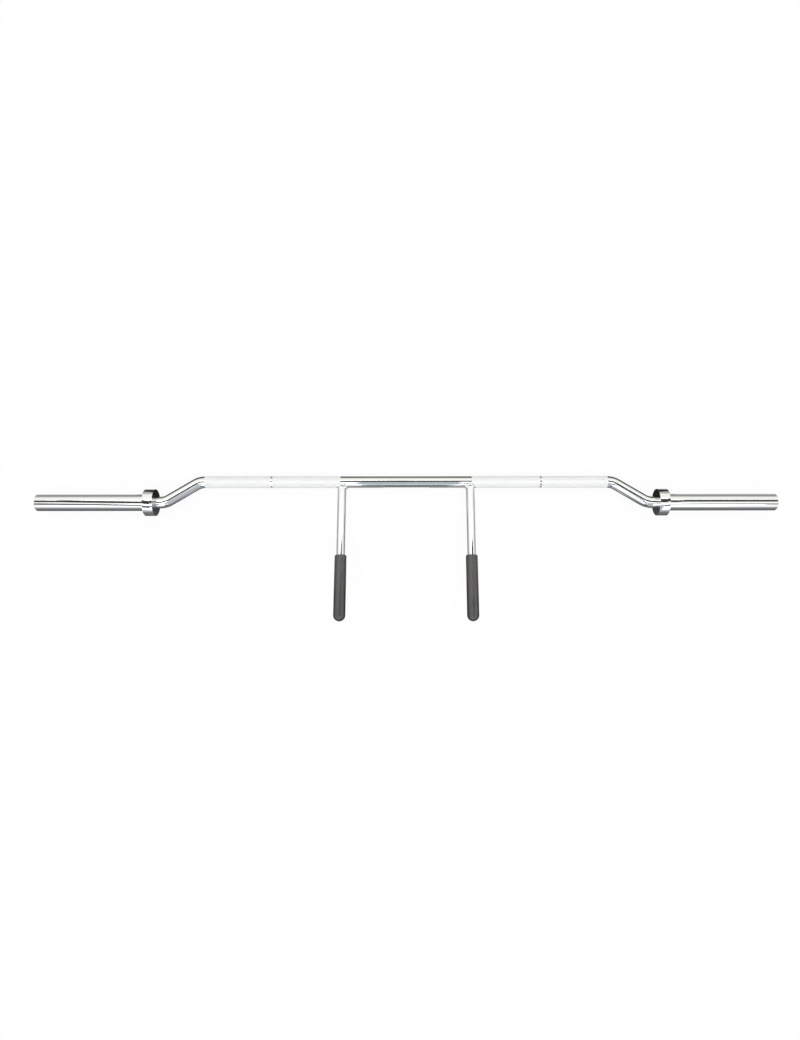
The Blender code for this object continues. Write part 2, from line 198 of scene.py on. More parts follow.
class Nodes:
    """A short hand for building a node tree."""

    def __init__(self, tree):
        self.tree = tree
        tree.nodes.clear()

    def add(self, kind, **settings):
        node = self.tree.nodes.new(kind)
        for name, value in settings.items():
            if name in node.inputs:
                node.inputs[name].default_value = value
            else:
                setattr(node, name, value)
        return node

    def link(self, source, target):
        self.tree.links.new(source, target)

    def coordinates(self, scale, location=(0, 0, 0)):
        """Object coordinates, stretched by scale and then shifted."""
        mapping = self.add("ShaderNodeMapping", Scale=scale, Location=location)
        self.link(self.add("ShaderNodeTexCoord").outputs["Object"], mapping.inputs["Vector"])
        return mapping.outputs["Vector"]

    def noise(self, scale, detail, stretch=(1, 1, 1)):
        texture = self.add("ShaderNodeTexNoise", Scale=scale, Detail=detail)
        self.link(self.coordinates(stretch), texture.inputs["Vector"])
        return texture.outputs["Fac"]

    def ramp(self, value, low, high, start=0.3, end=0.7):
        """value mapped from start..end to low..high, held at both ends."""
        node = self.add("ShaderNodeMapRange")
        for name, number in (("From Min", start), ("From Max", end), ("To Min", low), ("To Max", high)):
            node.inputs[name].default_value = number
        self.link(value, node.inputs["Value"])
        return node.outputs["Result"]

    def colours(self, value, low, high):
        """A colour between low and high by value."""
        node = self.add("ShaderNodeMix", data_type="RGBA")
        sockets = {socket.identifier: socket for socket in node.inputs}
        sockets["A_Color"].default_value = (*low, 1)
        sockets["B_Color"].default_value = (*high, 1)
        self.link(value, sockets["Factor_Float"])
        return next(socket for socket in node.outputs if socket.identifier == "Result_Color")

    def bump(self, height, strength, distance, normal=None):
        node = self.add("ShaderNodeBump", Strength=strength, Distance=distance)
        self.link(height, node.inputs["Height"])
        if normal:
            self.link(normal, node.inputs["Normal"])
        return node.outputs["Normal"]

    def maths(self, operation, first, second):
        node = self.add("ShaderNodeMath", operation=operation)
        for socket, value in zip(node.inputs, (first, second)):
            if isinstance(value, (int, float)):
                socket.default_value = value
            else:
                self.link(value, socket)
        return node.outputs[0]

    def principled(self, metallic, colour, roughness, normal):
        """The material's shader, wired to its output and to what varies over the surface."""
        shader = self.add("ShaderNodeBsdfPrincipled", Metallic=metallic)
        for name, source in (("Base Color", colour), ("Roughness", roughness), ("Normal", normal)):
            self.link(source, shader.inputs[name])
        self.link(shader.outputs["BSDF"], self.add("ShaderNodeOutputMaterial").inputs["Surface"])
        return shader


def new_material(name):
    made = bpy.data.materials.new(name)
    made.use_nodes = True
    return made, Nodes(made.node_tree)


def chrome_material():
    """Polished chrome with faint wipe marks and a slightly smoked edge."""
    made, nodes = new_material("polished_chrome")
    cloud = nodes.noise(scale=7.0, detail=4.0)
    wiped = nodes.noise(scale=60.0, detail=6.0, stretch=(0.25, 1, 1))
    scratches = nodes.noise(scale=900.0, detail=3.0, stretch=(1, 0.06, 0.06))
    shader = nodes.principled(
        metallic=1.0,
        colour=nodes.colours(cloud, low=(0.93, 0.94, 0.95), high=(0.97, 0.965, 0.955)),
        roughness=nodes.ramp(wiped, low=0.03, high=0.085, start=0.35, end=0.75),
        normal=nodes.bump(scratches, strength=0.02, distance=0.0001),
    )
    shader.inputs["Specular Tint"].default_value = (0.60, 0.61, 0.63, 1)
    return made


def knurl_material():
    """Satin plating over knurling, pale and soft, with painted shade darkening its colour down in the
    grooves.
    """
    made, nodes = new_material("knurled_chrome")
    place = nodes.add("ShaderNodeSeparateXYZ")
    nodes.link(nodes.coordinates((0, 1, 1), -BAR.translation), place.inputs["Vector"])
    squares = [nodes.maths("POWER", place.outputs[axis], 2.0) for axis in ("Y", "Z")]
    radius = nodes.maths("SQRT", nodes.maths("ADD", *squares), 0.0)
    # Painted shade: the colour darkens from the diamonds' points down into the grooves, by distance from the
    # shaft's axis
    groove = SHAFT_RADIUS - KNURL_DEPTH
    unshaded_radius = SHAFT_RADIUS - KNURL_UNSHADED_SHARE * KNURL_DEPTH
    height = nodes.ramp(radius, low=0.0, high=1.0, start=groove, end=unshaded_radius)
    nodes.principled(
        metallic=0.24,
        colour=nodes.colours(height, low=(0.90, 0.90, 0.895), high=(1.0, 1.0, 0.995)),
        roughness=nodes.ramp(nodes.noise(scale=35.0, detail=5.0), low=0.42, high=0.56),
        normal=nodes.bump(nodes.noise(scale=2600.0, detail=2.0), strength=0.08, distance=0.0001),
    )
    return made


def weld_material():
    """Brushed weld under the plating: bright, but too uneven to mirror anything sharply."""
    made, nodes = new_material("dressed_weld")
    cloud = nodes.noise(scale=180.0, detail=4.0)
    nodes.principled(
        metallic=1.0,
        colour=nodes.colours(cloud, low=(0.90, 0.90, 0.89), high=(0.97, 0.97, 0.96)),
        roughness=nodes.ramp(nodes.noise(scale=400.0, detail=3.0), low=0.16, high=0.28),
        normal=nodes.bump(nodes.noise(scale=1300.0, detail=3.0), strength=0.12, distance=0.0001),
    )
    return made


def rubber_material():
    """Moulded rubber: dark grey, finely grained, a little dusty."""
    made, nodes = new_material("moulded_rubber")
    fine = nodes.noise(scale=210.0, detail=4.0)
    broad = nodes.noise(scale=28.0, detail=5.0)
    both = nodes.maths("ADD", nodes.maths("MULTIPLY", fine, 0.55), nodes.maths("MULTIPLY", broad, 0.45))
    dust = nodes.ramp(both, low=0.0, high=1.0, start=0.35, end=0.65)
    grain = nodes.bump(nodes.noise(scale=1500.0, detail=3.0), strength=0.35, distance=0.0002)
    pits = nodes.noise(scale=520.0, detail=2.0)
    shader = nodes.principled(
        metallic=0.0,
        colour=nodes.colours(dust, low=(0.010, 0.0088, 0.0075), high=(0.050, 0.0445, 0.0385)),
        roughness=nodes.ramp(broad, low=0.30, high=0.42),
        normal=nodes.bump(pits, strength=0.30, distance=0.0004, normal=grain),
    )
    shader.inputs["Specular IOR Level"].default_value = 1.0
    shader.inputs["IOR"].default_value = 1.6
    return made


def plastic_material():
    """Black moulded plastic with a fine spark-eroded grain."""
    made, nodes = new_material("black_moulded_plastic")
    cloud = nodes.noise(scale=150.0, detail=4.0)
    nodes.principled(
        metallic=0.0,
        colour=nodes.colours(cloud, low=(0.018, 0.018, 0.019), high=(0.032, 0.032, 0.033)),
        roughness=nodes.ramp(nodes.noise(scale=300.0, detail=3.0), low=0.38, high=0.52),
        normal=nodes.bump(nodes.noise(scale=2200.0, detail=2.0), strength=0.25, distance=0.0001),
    )
    return made


def turned_metal_material(name, low, high, smoothest, roughest):
    """Metal turned on a lathe: fine rings round its axis and a film of grease."""
    made, nodes = new_material(name)
    rings = nodes.noise(scale=700.0, detail=2.0, stretch=(4, 0.1, 0.1))
    nodes.principled(
        metallic=1.0,
        colour=nodes.colours(nodes.noise(scale=240.0, detail=4.0), low, high),
        roughness=nodes.ramp(nodes.noise(scale=90.0, detail=4.0), smoothest, roughest),
        normal=nodes.bump(rings, strength=0.10, distance=0.0002),
    )
    return made


# Meshes


def arc(centre_radius, centre_z, radius, start, end, steps=ARC_STEPS):
    """Profile points along an arc. Its angles are in degrees, 0 outwards and 90 up."""
    angles = [math.radians(start + (end - start) * i / steps) for i in range(steps + 1)]
    return [(centre_radius + radius * math.cos(a), centre_z + radius * math.sin(a)) for a in angles]


def finished_mesh(name, points, faces, flat=(), slots=()):
    """A mesh shaded smooth between its edges, apart from the faces listed as flat."""
    mesh = bpy.data.meshes.new(name)
    mesh.from_pydata(points, [], faces)
    mesh.shade_smooth()
    mesh.set_sharp_from_angle(angle=SHARP_ANGLE)
    for index in flat:
        mesh.polygons[index].use_smooth = False
    for index, slot in slots:
        mesh.polygons[index].material_index = slot
    mesh.validate()
    return mesh


def lathe(name, profile, sides=TURNED_SIDES):
    """A closed mesh turned about local Z. The (radius, z) points run down its outside, then up any bore."""
    points, rows = [], []
    for radius, z in profile:
        if radius == 0:
            rows.append([len(points)] * sides)
            points.append((0, 0, z))
            continue
        rows.append(list(range(len(points), len(points) + sides)))
        angles = [math.tau * i / sides for i in range(sides)]
        points += [(radius * math.cos(a), radius * math.sin(a), z) for a in angles]
    pairs = list(zip(rows, rows[1:]))
    if profile[0][0] > 0:
        pairs.append((rows[-1], rows[0]))
    faces = []
    for upper, lower in pairs:
        for i in range(sides):
            j = (i + 1) % sides
            corners = (upper[i], lower[i], lower[j], upper[j])
            faces.append(tuple(dict.fromkeys(corners)))
    return finished_mesh(name, points, faces)


def new_piece(name, mesh, matrix, body, slot, *replaced, materials=()):
    """A copy of the mesh, moved into place, riding on its body and standing for its CAD node."""
    mesh = mesh.copy()
    mesh.name = name
    mesh.transform(matrix)
    for material in materials:
        mesh.materials.append(material)
    piece = bpy.data.objects.new(name, mesh)
    bpy.context.scene.collection.objects.link(piece)
    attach(piece, body)
    if replaced:
        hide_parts(*replaced)
    return piece


# Shaft


def bend_stations():
    """(x, offset towards the sleeves' axis, slope) through the two bends of one end."""
    angles = [BEND_ANGLE * i / BEND_STEPS for i in range(BEND_STEPS + 1)]
    bend = [(BEND_RADIUS * math.sin(a), BEND_RADIUS * (1 - math.cos(a)), a) for a in angles]
    start = BEND_END - BEND_RUN
    stations = [(start + x, y, a) for x, y, a in bend]
    return stations + [(BEND_END - x, CAMBER - y, a) for x, y, a in reversed(bend)]


def journal_stations():
    """(place along the sleeve, radius) down the shaft's turned end, with the groove for its clip."""
    groove_start = CLIP_START - GAP
    groove_end = CLIP_START + CLIP_THICKNESS + GAP
    groove_radius = JOURNAL_RADIUS - CLIP_GROOVE_DEPTH
    tip = groove_end + STEP_RUN + JOURNAL_TIP
    return [
        (LIP_THICKNESS, SHAFT_RADIUS - PLAIN_DEPTH),
        (LIP_THICKNESS + STEP_RUN, JOURNAL_RADIUS),
        (groove_start - STEP_RUN, JOURNAL_RADIUS),
        (groove_start, groove_radius),
        (groove_end, groove_radius),
        (groove_end + STEP_RUN, JOURNAL_RADIUS),
        (tip - JOURNAL_CHAMFER, JOURNAL_RADIUS),
        (tip, JOURNAL_RADIUS - JOURNAL_CHAMFER),
    ]


def knurl_stations(start, end):
    """Rings of one knurled length, each about half a diamond from the next."""
    count = round((end - start) / KNURL_STEP)
    return [(start + (end - start) * i / count, 0, 0, SHAFT_RADIUS, True) for i in range(count + 1)]


def half_shaft():
    """(x, offset, slope, radius, knurled) from the bar's middle to the tip of one journal."""
    plain = SHAFT_RADIUS - PLAIN_DEPTH
    mark_start = (RING_MARK_SPACING - RING_MARK_WIDTH) / 2
    mark_end = mark_start + RING_MARK_WIDTH
    mark = SHAFT_RADIUS - RING_MARK_DEPTH
    bend_start = BEND_END - BEND_RUN
    stations = [(PLAIN_HALF * i / PLAIN_STEPS, 0, 0, plain, False) for i in range(1, PLAIN_STEPS + 1)]
    stations += knurl_stations(PLAIN_HALF + KNURL_MARGIN, mark_start - KNURL_MARGIN)
    stations += [(mark_start, 0, 0, mark, False), (mark_end, 0, 0, mark, False)]
    stations += knurl_stations(mark_end + KNURL_MARGIN, bend_start - KNURL_MARGIN)
    stations += [(x, offset, slope, plain, False) for x, offset, slope in bend_stations()]
    stations += [(COLLAR_SPAN / 2 + z, CAMBER, 0, radius, False) for z, radius in journal_stations()]
    return stations


def shaft_mesh():
    """One round bar swept along its cranked axis, its knurling cut as rows of four-sided points."""
    half = half_shaft()
    middle = [(0, 0, 0, SHAFT_RADIUS - PLAIN_DEPTH, False)]
    mirrored = [(-x, offset, -slope, radius, knurled) for x, offset, slope, radius, knurled in reversed(half)]
    stations = mirrored + middle + half
    columns = KNURL_COLUMNS
    angles = [math.tau * j / columns for j in range(columns)]
    points = []
    for k, (x, offset, slope, radius, knurled) in enumerate(stations):
        across = (math.sin(slope), math.cos(slope))
        for j, angle in enumerate(angles):
            r = radius - KNURL_DEPTH * (knurled and (k + j) % 2 == 0)
            out = r * math.cos(angle)
            points.append((x + out * across[0], -offset + out * across[1], r * math.sin(angle)))
    faces, flat, slots = [], [], []
    for k, (low, high) in enumerate(zip(stations, stations[1:])):
        cut = low[4] and high[4]
        satin = low[4] or high[4]
        for j in range(columns):
            a, b = k * columns + j, k * columns + (j + 1) % columns
            c, d = b + columns, a + columns
            if not cut:
                made = [(a, b, c, d)]
            elif (k + j) % 2 == 0:
                made = [(a, b, c), (a, c, d)]
            else:
                made = [(a, b, d), (b, c, d)]
            if satin:
                flat += range(len(faces), len(faces) + len(made))
                slots += [(len(faces) + i, 1) for i in range(len(made))]
            faces += made
    faces.append(tuple(range(columns - 1, -1, -1)))
    last = (len(stations) - 1) * columns
    faces.append(tuple(range(last, last + columns)))
    return finished_mesh("bar_shaft", points, faces, flat, slots)


# Handles and grips


def weld_leg(angle, inner, inner_side):
    """Leg of the weld at this angle round the handle, held back where the shaft's side falls away."""
    along = inner if math.cos(angle) * inner_side > 0 else WELD_OUTER
    leg = along * math.cos(angle) ** 2 + WELD_AROUND * math.sin(angle) ** 2
    room = WELD_HUG * SHAFT_RADIUS - HANDLE_RADIUS * abs(math.sin(angle))
    return min(leg, room)


def shaft_height(radius, angle):
    """Height of the shaft's surface over its axis, on the circle of this radius round the handle."""
    return math.sqrt(SHAFT_RADIUS**2 - (radius * math.sin(angle)) ** 2)


def weld_section(angle, inner, inner_side, ripple):
    """(radius, z) round the weld's section: up its hollow face, then back inside the metal."""
    leg = weld_leg(angle, inner, inner_side)
    root = Vector((HANDLE_RADIUS, shaft_height(HANDLE_RADIUS, angle)))
    foot = Vector((HANDLE_RADIUS + leg, shaft_height(HANDLE_RADIUS + leg, angle)))
    top = root + Vector((0, leg))
    pull = root.lerp((foot + top) / 2, WELD_FULLNESS)
    section = []
    for i in range(WELD_STEPS + 1):
        share = i / WELD_STEPS
        point = foot * (1 - share) ** 2 + pull * 2 * share * (1 - share) + top * share**2
        swell = ripple * math.sin(math.pi * share)
        section.append(point + Vector((1, 1)).normalized() * swell)
    section.append(top + Vector((-WELD_SINK, 0)))
    section.append(root + Vector((-WELD_SINK, -WELD_SINK)))
    section.append(foot + Vector((0, -WELD_SINK)))
    return section


def weld_mesh(side, inner_side):
    """The bead round a handle's foot, in the overlapping scales that a welding torch leaves."""
    points, faces = [], []
    for i in range(WELD_SIDES):
        angle = math.tau * i / WELD_SIDES
        ripple = WELD_RIPPLE * math.cos(WELD_RIPPLES * angle)
        section = weld_section(angle, WELD_INNER[side], inner_side, ripple)
        points += [(r * math.cos(angle), r * math.sin(angle), z) for r, z in section]
    count = len(section)
    for i in range(WELD_SIDES):
        here, there = i * count, (i + 1) % WELD_SIDES * count
        for j in range(count):
            k = (j + 1) % count
            faces.append((here + k, here + j, there + j, there + k))
    return finished_mesh(f"{side}_handle_weld", points, faces)


def handle_mesh():
    end = HANDLE_REACH - GRIP_END_WALL - GAP
    inner = HANDLE_RADIUS - HANDLE_WALL
    profile = [(HANDLE_RADIUS, end), (HANDLE_RADIUS, HANDLE_FOOT), (inner, HANDLE_FOOT), (inner, end)]
    return lathe("handle_tube", profile)


def grip_mesh():
    """A moulded grip along local Z: rounded mouth, tube and domed end."""
    mouth_z = HANDLE_REACH - GRIP_LENGTH
    bore = HANDLE_RADIUS + GAP
    floor = HANDLE_REACH - GRIP_END_WALL
    dome = arc(0, HANDLE_REACH - GRIP_RADIUS, GRIP_RADIUS, 90, 0, DOME_STEPS)
    edge_radius = GRIP_RADIUS - GRIP_MOUTH_EDGE
    mouth = arc(edge_radius, mouth_z + GRIP_MOUTH_EDGE, GRIP_MOUTH_EDGE, 0, -90)
    inside = [(bore, mouth_z), (bore, floor), (0, floor)]
    return lathe("grip", [(0, HANDLE_REACH)] + dome[1:] + mouth + inside)


# Sleeves


def collar_mesh():
    rim = COLLAR_RADIUS - COLLAR_EDGE
    shaft_hole = SHAFT_RADIUS + GAP
    seat = SLEEVE_RADIUS + GAP
    profile = arc(rim, COLLAR_THICKNESS - COLLAR_EDGE, COLLAR_EDGE, 90, 0)
    profile += arc(rim, COLLAR_EDGE, COLLAR_EDGE, 0, -90)
    profile += [(shaft_hole, 0), (shaft_hole, LIP_THICKNESS), (seat, LIP_THICKNESS), (seat, COLLAR_THICKNESS)]
    return lathe("collar", profile)


def sleeve_mesh():
    groove = CAP_SEAT_RADIUS + CAP_RING_GROOVE_DEPTH
    groove_start = CAP_RING_START - GAP
    groove_end = CAP_RING_START + CAP_RING_THICKNESS + GAP
    seat_start = SLEEVE_END - CAP_SEAT_DEPTH
    profile = arc(SLEEVE_RADIUS - SLEEVE_EDGE, SLEEVE_END - SLEEVE_EDGE, SLEEVE_EDGE, 90, 0)
    profile += [
        (SLEEVE_RADIUS, SLEEVE_START),
        (SLEEVE_BORE, SLEEVE_START),
        (SLEEVE_BORE, seat_start),
        (CAP_SEAT_RADIUS, seat_start),
        (CAP_SEAT_RADIUS, groove_start),
        (groove, groove_start),
        (groove, groove_end),
        (CAP_SEAT_RADIUS, groove_end),
        (CAP_SEAT_RADIUS, SLEEVE_END),
    ]
    return lathe("sleeve", profile)


def cap_mesh():
    """A shallow crowned cup whose skirt stands on the step in the sleeve's mouth."""
    outer = CAP_SEAT_RADIUS - GAP
    inner = outer - CAP_WALL
    skirt_end = SLEEVE_END - CAP_SEAT_DEPTH + GAP
    face = CAP_RING_START - GAP
    floor = face - CAP_FACE
    crown = outer - CAP_RING_WIDTH
    shares = [i / ARC_STEPS for i in range(ARC_STEPS + 1)]
    profile = [(crown * share, face + CAP_CROWN * (1 - share**2)) for share in shares]
    profile += [(outer, face), (outer, skirt_end), (inner, skirt_end), (inner, floor), (0, floor)]
    return lathe("end_cap", profile)


def on_circle(radius, angle, centre=(0, 0)):
    return centre[0] + radius * math.cos(angle), centre[1] + radius * math.sin(angle)


def cap_ring_mesh():
    """The sprung ring in the sleeve's mouth, open round local X, with an eye in each ear by the opening."""
    outer = CAP_SEAT_RADIUS + CAP_RING_GROOVE_DEPTH - GAP
    inner = outer - CAP_RING_WIDTH
    ear = inner - CAP_RING_EAR
    tip = CLIP_OPENING / 2
    shoulder = tip + CLIP_EAR_SPAN
    shares = [i / CLIP_STEPS for i in range(CLIP_STEPS + 1)]
    outline = [on_circle(outer, tip + (math.tau - 2 * tip) * share) for share in shares]
    outline += [on_circle(ear, -tip), on_circle(ear, -shoulder)]
    outline += [on_circle(inner, -shoulder - (math.tau - 2 * shoulder) * share) for share in shares]
    outline += [on_circle(ear, shoulder), on_circle(ear, tip)]
    outlines = [outline]
    for sign in (-1, 1):
        centre = on_circle((outer + ear) / 2, sign * (tip + shoulder) / 2)
        turns = [math.tau * i / EYE_STEPS for i in range(EYE_STEPS)]
        outlines.append([on_circle(CLIP_EYE_RADIUS, turn, centre) for turn in turns])
    curve = bpy.data.curves.new("cap_ring", "CURVE")
    curve.dimensions = "2D"
    curve.fill_mode = "BOTH"
    curve.extrude = CAP_RING_THICKNESS / 2 - CAP_RING_BEVEL
    curve.bevel_depth = CAP_RING_BEVEL
    curve.bevel_resolution = 2
    curve.offset = -CAP_RING_BEVEL
    for places in outlines:
        spline = curve.splines.new("POLY")
        spline.points.add(len(places) - 1)
        spline.use_cyclic_u = True
        for point, (x, y) in zip(spline.points, places):
            point.co = (x, y, 0, 1)
    maker = bpy.data.objects.new("cap_ring_maker", curve)
    bpy.context.scene.collection.objects.link(maker)
    bpy.context.view_layer.update()
    mesh = bpy.data.meshes.new_from_object(maker.evaluated_get(bpy.context.evaluated_depsgraph_get()))
    bpy.data.objects.remove(maker, do_unlink=True)
    mesh.transform(Matrix.Translation((0, 0, CAP_RING_START + CAP_RING_THICKNESS / 2)))
    mesh.name = "cap_ring"
    mesh.materials.clear()
    mesh.shade_smooth()
    mesh.set_sharp_from_angle(angle=SHARP_ANGLE)
    return mesh


# Studio


def light_path_mix(nodes, seen, lit):
    """Mixes lit with seen where a camera, mirror or glass ray looks."""
    path = nodes.add("ShaderNodeLightPath")
    either = nodes.maths("MAXIMUM", path.outputs["Is Camera Ray"], path.outputs["Is Glossy Ray"])
    either = nodes.maths("MAXIMUM", either, path.outputs["Is Transmission Ray"])
    mix = nodes.add("ShaderNodeMixShader")
    nodes.link(either, mix.inputs["Fac"])
    nodes.link(lit, mix.inputs[1])
    nodes.link(seen, mix.inputs[2])
    return mix.outputs["Shader"]


def make_world():
    """A pale surround, white where it is seen, that lights the bar softly from all round."""
    world = bpy.data.worlds.new("studio")
    world.use_nodes = True
    bpy.context.scene.world = world
    nodes = Nodes(world.node_tree)
    seen = nodes.add("ShaderNodeBackground", Color=(1, 1, 1, 1), Strength=1.0)
    lit = nodes.add("ShaderNodeBackground", Color=(0.98, 0.99, 1, 1), Strength=WORLD_LIGHT)
    out = nodes.add("ShaderNodeOutputWorld")
    nodes.link(light_path_mix(nodes, seen.outputs[0], lit.outputs[0]), out.inputs["Surface"])


def make_floor():
    """A pale floor, white where it is seen but for the bar's shadow."""
    half = FLOOR_SIZE / 2
    corners = [(-half, -half, 0), (half, -half, 0), (half, half, 0), (-half, half, 0)]
    mesh = bpy.data.meshes.new("floor")
    mesh.from_pydata(corners, [], [(0, 1, 2, 3)])
    floor = bpy.data.objects.new("floor", mesh)
    bpy.context.scene.collection.objects.link(floor)
    made, nodes = new_material("pale_floor")
    matt = nodes.add("ShaderNodeBsdfDiffuse", Color=(0.98, 0.98, 0.98, 1))
    glow = nodes.add("ShaderNodeEmission", Color=(1, 1, 1, 1), Strength=1.0)
    pale = nodes.add("ShaderNodeMixShader", Fac=FLOOR_GLOW)
    nodes.link(matt.outputs[0], pale.inputs[1])
    nodes.link(glow.outputs[0], pale.inputs[2])
    grey = nodes.add("ShaderNodeBsdfDiffuse", Color=(FLOOR_BOUNCE, FLOOR_BOUNCE, FLOOR_BOUNCE, 1))
    out = nodes.add("ShaderNodeOutputMaterial")
    nodes.link(light_path_mix(nodes, pale.outputs[0], grey.outputs[0]), out.inputs["Surface"])
    mesh.materials.append(made)


def make_sun(name, lean, colour):
    """A broad soft lamp overhead, leaning by so many degrees from upright towards +Y."""
    light = bpy.data.lights.new(name, "SUN")
    light.energy = LAMP_ENERGY
    light.color = colour
    light.angle = LAMP_SPREAD
    lamp = bpy.data.objects.new(name, light)
    lamp.rotation_euler = (-math.radians(lean), 0, 0)
    bpy.context.scene.collection.objects.link(lamp)


def make_card(name, corners, low, high=None):
    """A card that shows only in reflections.

    Its colour runs from low, at the edge between its first two corners, to high at the edge across from it.
    """
    mesh = bpy.data.meshes.new(name)
    mesh.from_pydata(corners, [], [(0, 1, 2, 3)])
    layer = mesh.uv_layers.new(name="UVMap")
    for loop, place in zip(layer.uv, ((0, 0), (1, 0), (1, 1), (0, 1))):
        loop.vector = place
    card = bpy.data.objects.new(name, mesh)
    bpy.context.scene.collection.objects.link(card)
    made, nodes = new_material(name)
    place = nodes.add("ShaderNodeSeparateXYZ")
    nodes.link(nodes.add("ShaderNodeTexCoord").outputs["UV"], place.inputs["Vector"])
    light = nodes.add("ShaderNodeEmission")
    nodes.link(nodes.colours(place.outputs["Y"], low, high or low), light.inputs["Color"])
    out = nodes.add("ShaderNodeOutputMaterial")
    nodes.link(light.outputs[0], out.inputs["Surface"])
    mesh.materials.append(made)
    for kind in ("camera", "diffuse", "transmission", "shadow", "volume_scatter"):
        setattr(card, f"visible_{kind}", False)


def overhead_card(
    name, start, end, low, high=None, left=-CARD_HALF, right=CARD_HALF, skew=0.0, distance=CARD_DISTANCE
):
    """A card along the bar overhead, between two angles from upright towards +Y.

    Both are in degrees, and skew turns the card by so many more for each metre along X.
    """

    def corner(x, angle):
        turned = math.radians(angle + skew * x)
        return x, distance * math.sin(turned), distance * math.cos(turned)

    corners = [corner(left, start), corner(right, start), corner(right, end), corner(left, end)]
    make_card(name, corners, low, high)


def floor_card(name, start, end, low, high=None, left=-MAT_HALF, right=MAT_HALF):
    """A card flat on the floor along the bar, between two distances from the line under its sleeves."""
    middle = BAR.translation.y - CAMBER
    near, far = middle + start, middle + end
    corners = [(x, y, MAT_HEIGHT) for x, y in ((left, near), (right, near), (right, far), (left, far))]
    make_card(name, corners, low, high)


def wall_card(name, place, height, half, low, high=None, along_y=False):
    """An upright card on the floor, across Y or, with along_y, across X."""
    ends = [(place, -half), (place, half)] if along_y else [(-half, place), (half, place)]
    (x0, y0), (x1, y1) = ends
    make_card(name, [(x0, y0, 0), (x1, y1, 0), (x1, y1, height), (x0, y0, height)], low, high)


def tinted(tint, *shades):
    """A colour for each shade of grey, leaning towards the tint."""
    return [tuple(share * shade for share in tint) for shade in shades]


def hang_overhead_cards():
    """Dark bands for the streaks along the polished tubes, and the pale and bluish ones between them."""
    gap = (0.046, 0.052, 0.038)
    seam = (0.16, 0.17, 0.165)
    # Each card's first and last angle, its colours, and its ends along the bar
    overhead_card("gap_card_centre", 2.5, 8.5, gap, left=-0.6, right=0.6)
    overhead_card("gap_card_right", 8.8, 34.4, gap, left=0, right=1.3)
    overhead_card("gap_card_right_crank", 4.5, 34.4, gap, left=1.3, right=3.08)
    overhead_card("gap_card_right_sleeve", 11.3, 37.5, gap, left=3.08, right=4.75)
    overhead_card("gap_card_middle", 8.5, 35.5, gap, left=-2.5, right=0, skew=4.4)
    overhead_card("gap_card_left", -41.5, -11.6, gap, left=-4.2, right=-2.5, skew=-12.2)
    overhead_card("gap_card_left_end", 12, 36, gap, left=-5.2, right=-4.2)
    overhead_card("seam_card", -33, -18, seam, left=-2.5, skew=1.0)
    overhead_card("seam_card_left", -80, -56.5, seam, right=-2.95, skew=-12.2)
    overhead_card("seam_card_left_collar", -77, -53.2, seam, left=-2.95, right=-2.5, skew=-12.2)
    overhead_card("warm_card", 38, 72, (0.99, 1.0, 0.96), (0.90, 0.93, 0.84), distance=6.1)
    overhead_card("blue_card", -54, 4, (0.38, 0.46, 0.50), (0.46, 0.54, 0.57), -0.5, 0.56, distance=5.8)
    overhead_card("grey_card", -62, -10, (0.34, 0.35, 0.38), (0.66, 0.66, 0.68), 0.62, 2.5, distance=5.9)


def stand_walls():
    """Grey walls round the bar, each paler upwards."""
    # Each wall's place, height and half length, and its colours at the foot and the top
    wall_card("front_wall", -CARD_DISTANCE, 3.5, 9, (0.16, 0.17, 0.20), (0.76, 0.78, 0.82))
    wall_card("dark_card", -5.9, 3.8, 0.55, (0.06, 0.075, 0.08), (0.08, 0.10, 0.11))
    wall_card("back_wall", CARD_DISTANCE, 1.65, 9, (0.58, 0.58, 0.54), (0.90, 0.91, 0.85))
    wall_card("left_wall", -WALL_DISTANCE, 1.9, 6, (0.40, 0.40, 0.40), (0.85, 0.85, 0.85), along_y=True)
    wall_card("right_wall", WALL_DISTANCE, 1.9, 6, (0.40, 0.40, 0.39), (0.85, 0.85, 0.84), along_y=True)


